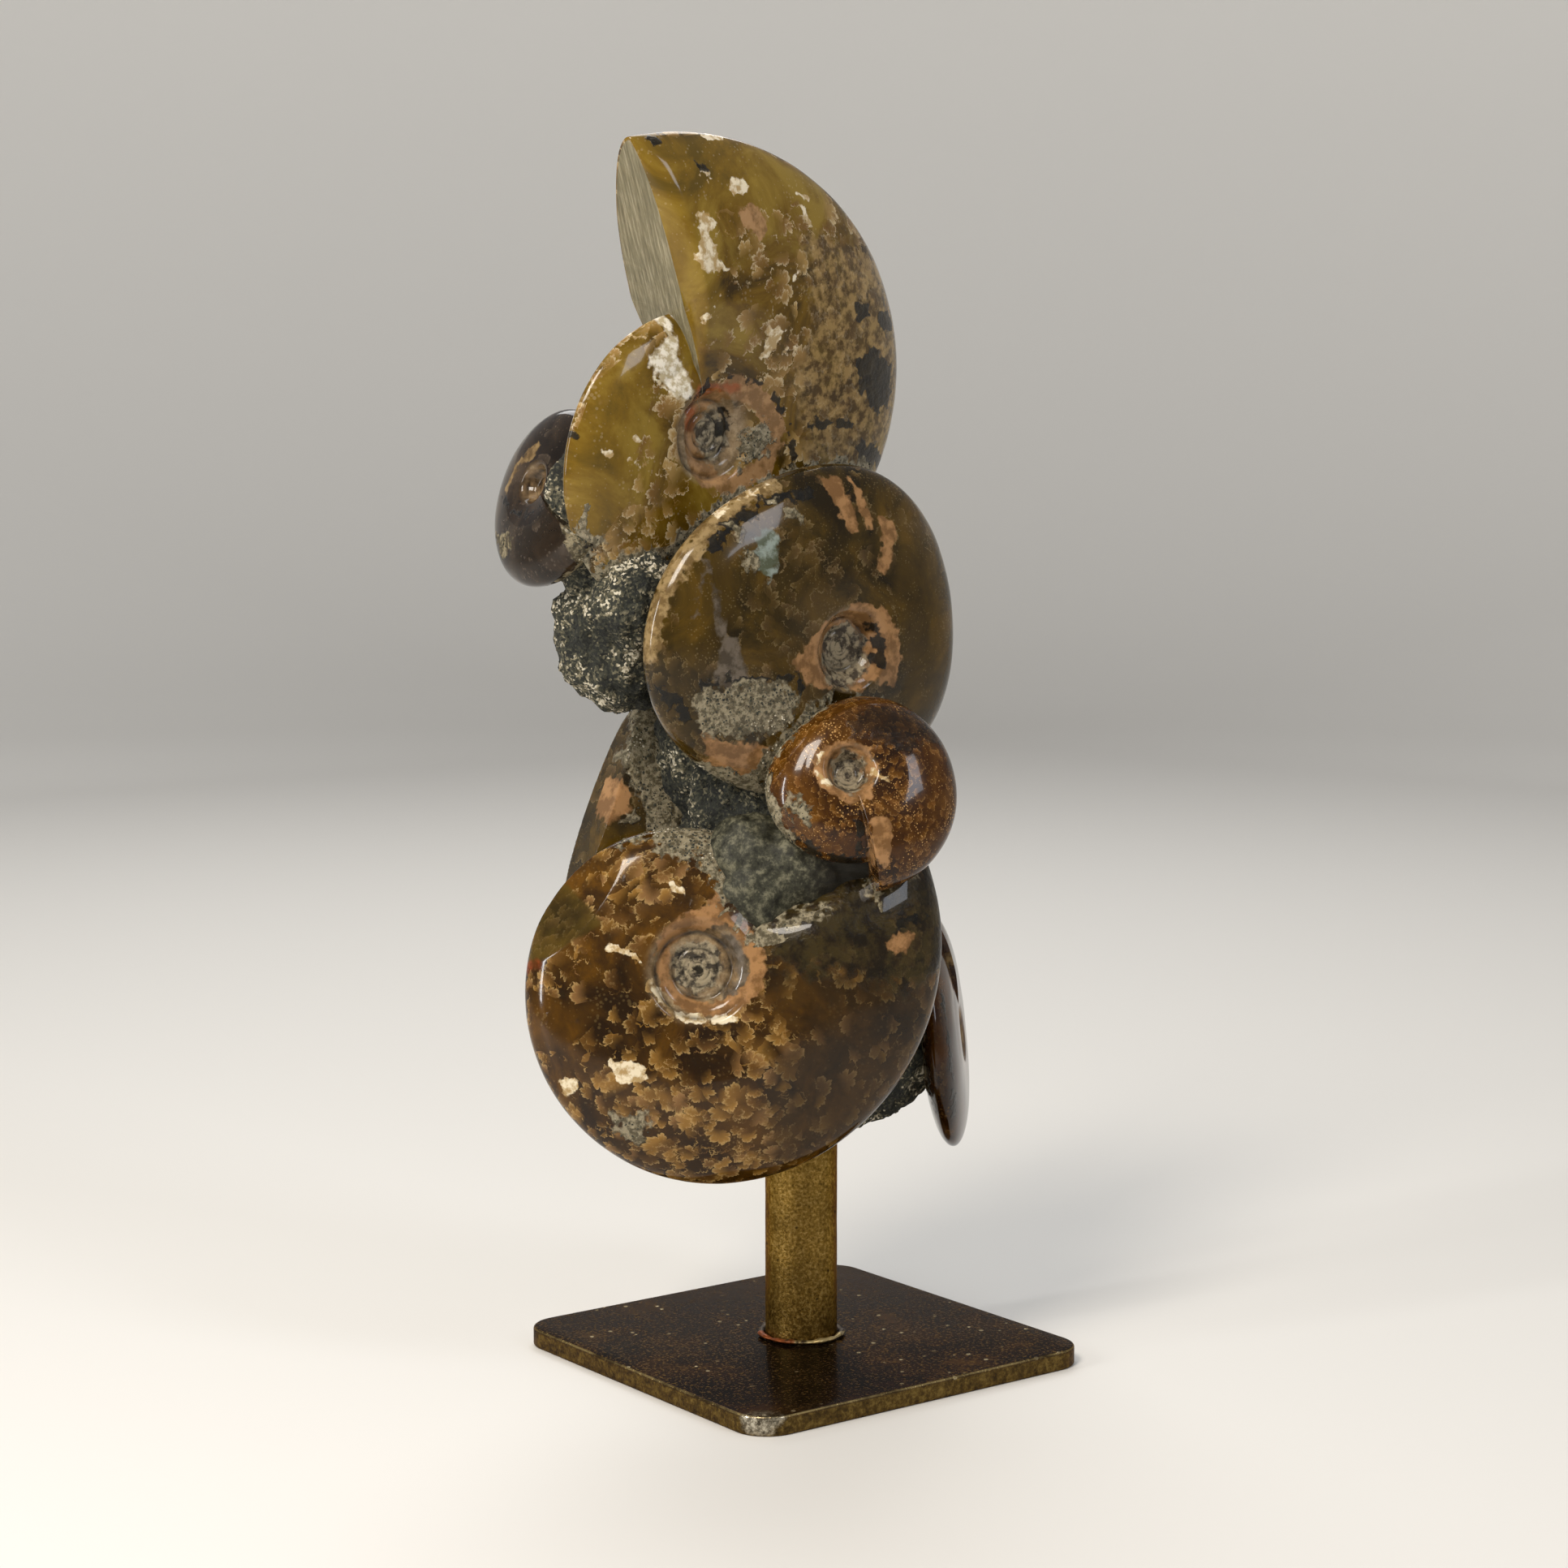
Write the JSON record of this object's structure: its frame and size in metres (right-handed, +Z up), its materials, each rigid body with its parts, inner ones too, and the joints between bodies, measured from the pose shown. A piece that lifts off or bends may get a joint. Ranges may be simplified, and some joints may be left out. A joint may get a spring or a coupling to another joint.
{
  "type": "ammonite cluster plate",
  "caption": "Upright cluster of polished coiled ammonites held in dark sandstone, mounted on a round gold-painted rod that is welded to a square steel base plate.",
  "frame": {"origin": "centre of the underside of the square base plate", "axes": "+Z up along the rod; X and Y along the sides of the square plate, with -Y the side that the flat faces of the upper shells look towards"},
  "size_m": [0.1293, 0.1016, 0.2972],
  "materials": {
    "plate": "dark bronze-brown paint, glossy, scuffed, gold at the edges",
    "rod": "gold metallic paint, fine grain",
    "weld": "painted weld with a rust spot",
    "rock": "rough grainy dark sandstone with pale specks",
    "shell_honey": "polished honey calcite with leaf-shaped sutures",
    "shell_olive": "polished olive-brown calcite",
    "shell_amber": "polished granular amber calcite",
    "shell_grey": "polished grey-brown shell",
    "shell_brown": "polished orange-brown shell"
  },
  "bodies": {
    "root": {"base_plate": "plate", "post": "rod", "weld_bead": "weld", "matrix": "rock", "ammonite_top": "shell_honey", "ammonite_middle": "shell_olive", "ammonite_small": "shell_amber", "ammonite_lower": "shell_honey", "ammonite_lower_back": "shell_olive", "ammonite_left_back": "shell_grey", "ammonite_right_edge": "shell_brown"}
  },
  "joints": []
}
